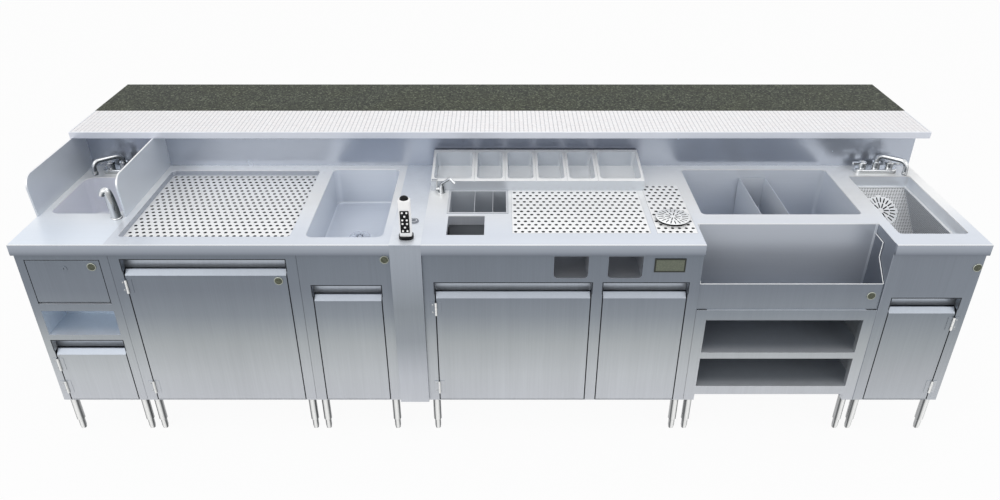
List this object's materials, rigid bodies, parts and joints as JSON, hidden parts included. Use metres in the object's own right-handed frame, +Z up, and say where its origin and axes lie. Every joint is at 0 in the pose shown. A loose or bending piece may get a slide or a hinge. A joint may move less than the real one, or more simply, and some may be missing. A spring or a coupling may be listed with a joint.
{
  "type": "bar station",
  "caption": "Stainless underbar station with sinks, ice bins, garnish pans, glass rinser, soda gun, drawers and doors below a raised tiled and stone bar top.",
  "frame": {"origin": "centre of the bounding box on the floor plane", "axes": "+X along the bar to the bartender's right, +Y from the bartender's side to the guests' side, +Z up"},
  "size_m": [3.1496, 1.068, 0.975],
  "materials": {
    "front_steel": "vertical brushed",
    "worktop_steel": "fine satin",
    "polished_steel": "polished",
    "chrome": "bright",
    "tile": "glazed white mosaic with pale joints",
    "stone": "polished speckled stone",
    "white_plastic": "moulded",
    "black_plastic": "moulded"
  },
  "bodies": {
    "station": {"legs": "front_steel", "leveling_feet": "worktop_steel", "hand_sink_cabinet": "front_steel", "glass_cabinet": "front_steel", "ice_well_cabinet": "front_steel", "cocktail_cabinet": "front_steel", "towel_panel": "front_steel", "speed_rail_cabinet": "front_steel", "dump_cabinet": "front_steel", "soda_column": "front_steel", "hand_sink_top": "worktop_steel", "sink_drains": "chrome", "drainboard_top": "worktop_steel", "ice_well_top": "worktop_steel", "ice_bin_top": "worktop_steel", "dump_sink_top": "worktop_steel", "cocktail_top": "worktop_steel", "rinser_plate": "worktop_steel", "garnish_rail": "worktop_steel", "speed_rail_trough": "front_steel", "backsplash": "polished_steel", "splash_guards": "polished_steel", "bar_top_tray": "worktop_steel", "tile_rail": "tile", "stone_counter": "stone", "bar_top_posts": "front_steel", "hinge_leaves": "chrome", "drawer_runners": "front_steel", "faucet_bodies": "chrome", "soap_dispenser": "chrome", "gun_holder": "black_plastic"},
    "towel_door": {"towel_door": "front_steel"},
    "towel_lock": {"towel_lock": "chrome"},
    "waste_door": {"waste_door": "front_steel"},
    "glass_door": {"glass_door": "front_steel"},
    "cocktail_door": {"cocktail_door": "front_steel"},
    "dump_door": {"dump_door": "front_steel"},
    "bottle_drawer": {"bottle_drawer": "front_steel"},
    "cocktail_drawer": {"cocktail_drawer": "front_steel"},
    "hand_faucet_spout": {"hand_faucet_spout": "chrome"},
    "hand_faucet_hot_lever": {"hand_faucet_hot_lever": "chrome"},
    "hand_faucet_cold_lever": {"hand_faucet_cold_lever": "chrome"},
    "dump_faucet_spout": {"dump_faucet_spout": "chrome"},
    "dump_faucet_hot_lever": {"dump_faucet_hot_lever": "chrome"},
    "dump_faucet_cold_lever": {"dump_faucet_cold_lever": "chrome"},
    "bar_faucet_spout": {"bar_faucet_spout": "chrome"},
    "bar_faucet_lever": {"bar_faucet_lever": "chrome"},
    "drainboard_grate": {"drainboard_grate": "worktop_steel"},
    "work_grate": {"work_grate": "worktop_steel"},
    "rinser_star": {"rinser_star": "chrome"},
    "tool_insert": {"tool_insert": "worktop_steel"},
    "ice_dividers": {"ice_dividers": "worktop_steel"},
    "dump_basket": {"dump_basket": "worktop_steel"},
    "soda_gun": {"soda_gun": "white_plastic"},
    "garnish_pan_1": {"garnish_pan_1": "worktop_steel"},
    "garnish_pan_2": {"garnish_pan_2": "worktop_steel"},
    "garnish_pan_3": {"garnish_pan_3": "worktop_steel"},
    "garnish_pan_4": {"garnish_pan_4": "worktop_steel"},
    "garnish_pan_5": {"garnish_pan_5": "worktop_steel"},
    "garnish_pan_6": {"garnish_pan_6": "worktop_steel"}
  },
  "joints": [
    {"name": "waste_door_hinge", "type": "hinge", "parent": "station", "child": "waste_door", "pos_m": [-1.54355, -0.526, 0.476], "axis": [0, 0, -1], "range_deg": [0, 110]},
    {"name": "glass_door_hinge", "type": "hinge", "parent": "station", "child": "glass_door", "pos_m": [-1.23075, -0.526, 0.476], "axis": [0, 0, -1], "range_deg": [0, 110]},
    {"name": "cocktail_door_hinge", "type": "hinge", "parent": "station", "child": "cocktail_door", "pos_m": [-0.21475, -0.526, 0.476], "axis": [0, 0, -1], "range_deg": [0, 110]},
    {"name": "dump_door_hinge", "type": "hinge", "parent": "station", "child": "dump_door", "pos_m": [1.53555, -0.526, 0.476], "axis": [0, 0, 1], "range_deg": [0, 110]},
    {"name": "towel_door_hinge", "type": "hinge", "parent": "station", "child": "towel_door", "pos_m": [-1.4224, -0.512, 0.5795], "axis": [1, 0, 0], "range_deg": [0, 80]},
    {"name": "towel_lock_turn", "type": "hinge", "parent": "towel_door", "child": "towel_lock", "pos_m": [-1.4224, -0.522, 0.706], "axis": [0, -1, 0], "range_deg": [0, 90]},
    {"name": "bottle_drawer_slide", "type": "slide", "parent": "station", "child": "bottle_drawer", "axis": [0, -1, 0], "range_m": [0, 0.4]},
    {"name": "cocktail_drawer_slide", "type": "slide", "parent": "station", "child": "cocktail_drawer", "axis": [0, -1, 0], "range_m": [0, 0.4]},
    {"name": "hand_faucet_swivel", "type": "hinge", "parent": "station", "child": "hand_faucet_spout", "pos_m": [-1.4224, 0.034, 0.84], "axis": [0, 0, 1], "range_deg": [-25, 125]},
    {"name": "hand_faucet_hot_lever_turn", "type": "hinge", "parent": "station", "child": "hand_faucet_hot_lever", "pos_m": [-1.4732, 0.034, 0.834], "axis": [0, 0, 1], "range_deg": [0, 90]},
    {"name": "hand_faucet_cold_lever_turn", "type": "hinge", "parent": "station", "child": "hand_faucet_cold_lever", "pos_m": [-1.3716, 0.034, 0.834], "axis": [0, 0, -1], "range_deg": [0, 90]},
    {"name": "dump_faucet_swivel", "type": "hinge", "parent": "station", "child": "dump_faucet_spout", "pos_m": [1.4224, 0.034, 0.84], "axis": [0, 0, 1], "range_deg": [-125, 25]},
    {"name": "dump_faucet_hot_lever_turn", "type": "hinge", "parent": "station", "child": "dump_faucet_hot_lever", "pos_m": [1.3716, 0.034, 0.834], "axis": [0, 0, 1], "range_deg": [0, 90]},
    {"name": "dump_faucet_cold_lever_turn", "type": "hinge", "parent": "station", "child": "dump_faucet_cold_lever", "pos_m": [1.4732, 0.034, 0.834], "axis": [0, 0, -1], "range_deg": [0, 90]},
    {"name": "bar_faucet_swivel", "type": "hinge", "parent": "station", "child": "bar_faucet_spout", "pos_m": [-0.21, -0.148, 0.82], "axis": [0, 0, 1], "range_deg": [-90, 30]},
    {"name": "bar_faucet_lever_tilt", "type": "hinge", "parent": "station", "child": "bar_faucet_lever", "pos_m": [-0.2265, -0.148, 0.813], "axis": [1, 0, 0], "range_deg": [0, 70]},
    {"name": "rinser_star_press", "type": "slide", "parent": "station", "child": "rinser_star", "axis": [0, 0, -1], "range_m": [0, 0.004], "stiffness_N_per_m": 1500, "springref_m": -0.004},
    {"name": "drainboard_grate_lift", "type": "slide", "parent": "station", "child": "drainboard_grate", "axis": [0, 0, 1], "range_m": [0, 0.09]},
    {"name": "work_grate_lift", "type": "slide", "parent": "station", "child": "work_grate", "axis": [0, 0, 1], "range_m": [0, 0.08]},
    {"name": "tool_insert_lift", "type": "slide", "parent": "station", "child": "tool_insert", "axis": [0, 0, 1], "range_m": [0, 0.038]},
    {"name": "ice_dividers_lift", "type": "slide", "parent": "station", "child": "ice_dividers", "axis": [0, 0, 1], "range_m": [0, 0.165]},
    {"name": "dump_basket_lift", "type": "slide", "parent": "station", "child": "dump_basket", "axis": [0, 0, 1], "range_m": [0, 0.055]},
    {"name": "soda_gun_lift", "type": "slide", "parent": "station", "child": "soda_gun", "axis": [0, 0, 1], "range_m": [0, 0.14]},
    {"name": "garnish_pan_1_lift", "type": "slide", "parent": "station", "child": "garnish_pan_1", "axis": [0, -0.1499, 0.9887], "range_m": [0, 0.072]},
    {"name": "garnish_pan_2_lift", "type": "slide", "parent": "station", "child": "garnish_pan_2", "axis": [0, -0.1499, 0.9887], "range_m": [0, 0.072]},
    {"name": "garnish_pan_3_lift", "type": "slide", "parent": "station", "child": "garnish_pan_3", "axis": [0, -0.1499, 0.9887], "range_m": [0, 0.072]},
    {"name": "garnish_pan_4_lift", "type": "slide", "parent": "station", "child": "garnish_pan_4", "axis": [0, -0.1499, 0.9887], "range_m": [0, 0.072]},
    {"name": "garnish_pan_5_lift", "type": "slide", "parent": "station", "child": "garnish_pan_5", "axis": [0, -0.1499, 0.9887], "range_m": [0, 0.072]},
    {"name": "garnish_pan_6_lift", "type": "slide", "parent": "station", "child": "garnish_pan_6", "axis": [0, -0.1499, 0.9887], "range_m": [0, 0.072]}
  ]
}
